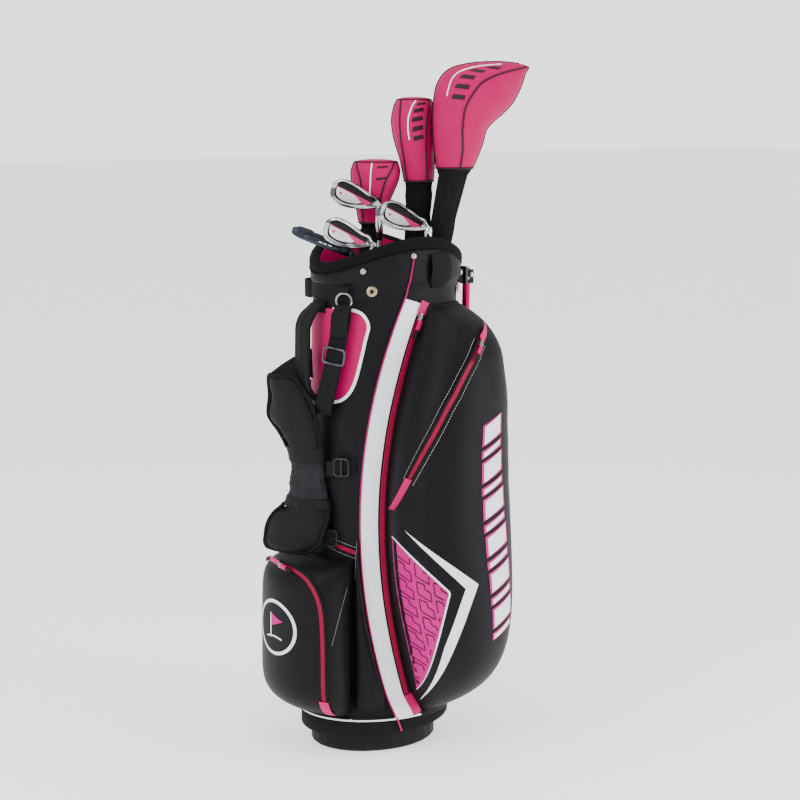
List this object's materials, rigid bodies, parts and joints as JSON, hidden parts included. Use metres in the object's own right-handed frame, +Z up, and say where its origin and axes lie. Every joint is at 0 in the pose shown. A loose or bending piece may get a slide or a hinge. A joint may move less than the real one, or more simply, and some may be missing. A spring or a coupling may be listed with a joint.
{
  "type": "golf club set in a stand bag",
  "caption": "Golf clubs, some under knitted head covers, in a padded stand bag with pockets, shoulder strap and fold-out legs driven by its foot plate.",
  "frame": {"origin": "on the ground, on the underside of the foot plate, below the middle of the bag", "axes": "+Z up along the bag, -Y towards the shoulder strap and ball pocket, +Y towards the legs, +X towards the right-hand side pocket"},
  "size_m": [0.4718, 0.4356, 1.1659],
  "materials": {
    "moulded_black": "fine moulded grain, black",
    "foot_rubber": "matt black",
    "steel_pin": "satin",
    "bag_fabric": "black woven polyester",
    "cuff_padding": "black padded fleece",
    "pad_fabric": "black padded mesh and woven fabric",
    "webbing": "black ribbed webbing",
    "buckle_plastic": "semi-gloss black",
    "hardware": "satin nickel",
    "leg_metal": "pink anodised",
    "tip_rubber": "matt black",
    "zip_pink": "pink enamel",
    "grip_rubber": "textured matt black",
    "steel_shaft": "polished",
    "graphite_shaft": "clear-coated dark graphite",
    "iron_chrome": "polished and satin",
    "putter_metal": "dark grey satin",
    "wood_shell": "gloss black",
    "cover_fabric": "hot pink padded fabric",
    "sock_knit": "black rib knit"
  },
  "bodies": {
    "bag": {"base_collar": "moulded_black", "foot_hinge_pin": "steel_pin", "body_shell": "bag_fabric", "top_collar": "moulded_black", "cuff_pad": "cuff_padding", "club_divider": "moulded_black", "ball_pocket": "bag_fabric", "side_pocket_right": "bag_fabric", "side_pocket_left": "bag_fabric", "valuables_pocket": "bag_fabric", "carry_handle": "pad_fabric", "hip_pad": "pad_fabric", "strap_webbing_upper": "webbing", "strap_pad_upper": "pad_fabric", "strap_pad_lower": "pad_fabric", "strap_webbing_lower": "webbing", "d_ring_right": "hardware", "leg_bracket": "moulded_black", "leg_pin_right": "steel_pin", "leg_pin_left": "steel_pin"},
    "foot": {"foot_plate": "foot_rubber"},
    "leg_right": {"leg_right": "leg_metal", "leg_tip_right": "tip_rubber"},
    "leg_left": {"leg_left": "leg_metal", "leg_tip_left": "tip_rubber"},
    "actuator": {"actuator_rod": "steel_pin", "actuator_yoke": "moulded_black"},
    "driver": {"driver_grip": "grip_rubber", "driver_shaft": "graphite_shaft", "driver_head": "wood_shell"},
    "driver_cover": {"driver_cover": "cover_fabric", "driver_sock": "sock_knit"},
    "fairway": {"fairway_grip": "grip_rubber", "fairway_shaft": "graphite_shaft", "fairway_head": "wood_shell"},
    "fairway_cover": {"fairway_cover": "cover_fabric", "fairway_sock": "sock_knit"},
    "hybrid": {"hybrid_grip": "grip_rubber", "hybrid_shaft": "graphite_shaft", "hybrid_head": "wood_shell"},
    "hybrid_cover": {"hybrid_cover": "cover_fabric", "hybrid_sock": "sock_knit"},
    "iron_7": {"iron_7_grip": "grip_rubber", "iron_7_shaft": "steel_shaft", "iron_7_head": "iron_chrome"},
    "iron_9": {"iron_9_grip": "grip_rubber", "iron_9_shaft": "steel_shaft", "iron_9_head": "iron_chrome"},
    "wedge": {"wedge_grip": "grip_rubber", "wedge_shaft": "steel_shaft", "wedge_head": "iron_chrome"},
    "putter": {"putter_grip": "grip_rubber", "putter_shaft": "steel_shaft", "putter_head": "putter_metal"},
    "strap_glide": {"strap_glide": "buckle_plastic"},
    "zip_slider_ball": {"zip_slider_ball": "zip_pink"},
    "zip_slider_long_right": {"zip_slider_long_right": "zip_pink"},
    "zip_slider_long_left": {"zip_slider_long_left": "zip_pink"},
    "zip_slider_diagonal_right": {"zip_slider_diagonal_right": "zip_pink"},
    "zip_slider_diagonal_left": {"zip_slider_diagonal_left": "zip_pink"}
  },
  "joints": [
    {"name": "foot_flex", "type": "hinge", "parent": "bag", "child": "foot", "pos_m": [0, -0.104, 0.026], "axis": [1, 0, 0], "range_deg": [0, 9], "stiffness_Nm_per_rad": 40, "springref_deg": -17.19},
    {"name": "actuator_slide", "type": "slide", "parent": "bag", "child": "actuator", "axis": [0, 0.0479, 0.9988], "range_m": [0, 0.034]},
    {"name": "leg_swing_right", "type": "hinge", "parent": "bag", "child": "leg_right", "pos_m": [0.026, 0.1625, 0.797], "axis": [0.9272, -0.3746, 0], "range_deg": [0, 32.5]},
    {"name": "leg_swing_left", "type": "hinge", "parent": "bag", "child": "leg_left", "pos_m": [-0.026, 0.1625, 0.797], "axis": [0.9272, 0.3746, 0], "range_deg": [0, 32.5]},
    {"name": "driver_draw", "type": "slide", "parent": "bag", "child": "driver", "axis": [0.1003, 0.0929, 0.9906], "range_m": [0, 0.83], "deforming": ["driver_cover", "fairway_cover", "hybrid_cover", "driver_sock", "fairway_sock", "hybrid_sock"]},
    {"name": "driver_cover_lift", "type": "slide", "parent": "driver", "child": "driver_cover", "axis": [0.1003, 0.0929, 0.9906], "range_m": [0, 0.32], "deforming": ["driver_cover", "driver_sock"]},
    {"name": "fairway_draw", "type": "slide", "parent": "bag", "child": "fairway", "axis": [0.0517, 0.0363, 0.998], "range_m": [0, 0.83], "deforming": ["driver_cover", "fairway_cover", "hybrid_cover", "driver_sock", "fairway_sock", "hybrid_sock"]},
    {"name": "fairway_cover_lift", "type": "slide", "parent": "fairway", "child": "fairway_cover", "axis": [0.0517, 0.0363, 0.998], "range_m": [0, 0.28], "deforming": ["fairway_cover", "fairway_sock"]},
    {"name": "hybrid_draw", "type": "slide", "parent": "bag", "child": "hybrid", "axis": [-0.0003, 0.0404, 0.9992], "range_m": [0, 0.83], "deforming": ["driver_cover", "fairway_cover", "hybrid_cover", "driver_sock", "fairway_sock", "hybrid_sock"]},
    {"name": "hybrid_cover_lift", "type": "slide", "parent": "hybrid", "child": "hybrid_cover", "axis": [-0.0003, 0.0404, 0.9992], "range_m": [0, 0.2], "deforming": ["hybrid_cover", "hybrid_sock"]},
    {"name": "iron_7_draw", "type": "slide", "parent": "bag", "child": "iron_7", "axis": [-0.002, 0.006, 1], "range_m": [0, 0.83]},
    {"name": "iron_9_draw", "type": "slide", "parent": "bag", "child": "iron_9", "axis": [0.0195, 0.0389, 0.9991], "range_m": [0, 0.83]},
    {"name": "wedge_draw", "type": "slide", "parent": "bag", "child": "wedge", "axis": [0.0219, 0.0125, 0.9997], "range_m": [0, 0.83]},
    {"name": "putter_draw", "type": "slide", "parent": "bag", "child": "putter", "axis": [0.0232, 0.0177, 0.9996], "range_m": [0, 0.83]},
    {"name": "strap_glide_slide", "type": "slide", "parent": "bag", "child": "strap_glide", "axis": [0.0755, 0.191, 0.9787], "range_m": [-0.008, 0.008]},
    {"name": "zip_ball", "type": "hinge", "parent": "bag", "child": "zip_slider_ball", "pos_m": [0.01838, -0.18612, 0.25661], "axis": [-0.0458, 0.9793, 0.1972], "range_deg": [0, 109.8]},
    {"name": "zip_long_right", "type": "hinge", "parent": "bag", "child": "zip_slider_long_right", "pos_m": [0.2965, 0.87749, 0.3895], "axis": [0.9777, -0.2102, -0.0001], "range_deg": [0, 37.9]},
    {"name": "zip_long_left", "type": "hinge", "parent": "bag", "child": "zip_slider_long_left", "pos_m": [-0.2965, 0.87749, 0.3895], "axis": [0.9776, 0.2103, 0.0001], "range_deg": [0, 37.9]},
    {"name": "zip_diagonal_right", "type": "hinge", "parent": "bag", "child": "zip_slider_diagonal_right", "pos_m": [-0.07696, 0.14462, 0.53917], "axis": [0.5013, 0.726, -0.4707], "range_deg": [0, 38.5]},
    {"name": "zip_diagonal_left", "type": "hinge", "parent": "bag", "child": "zip_slider_diagonal_left", "pos_m": [0.07696, 0.14462, 0.53917], "axis": [0.5013, -0.726, 0.4707], "range_deg": [0, 38.5]}
  ],
  "couplings": [
    {"joint": "actuator_slide", "follows": "foot_flex", "m_per_rad": 0.2125},
    {"joint": "leg_swing_right", "follows": "foot_flex", "ratio": 3.5556},
    {"joint": "leg_swing_left", "follows": "foot_flex", "ratio": 3.5556}
  ]
}
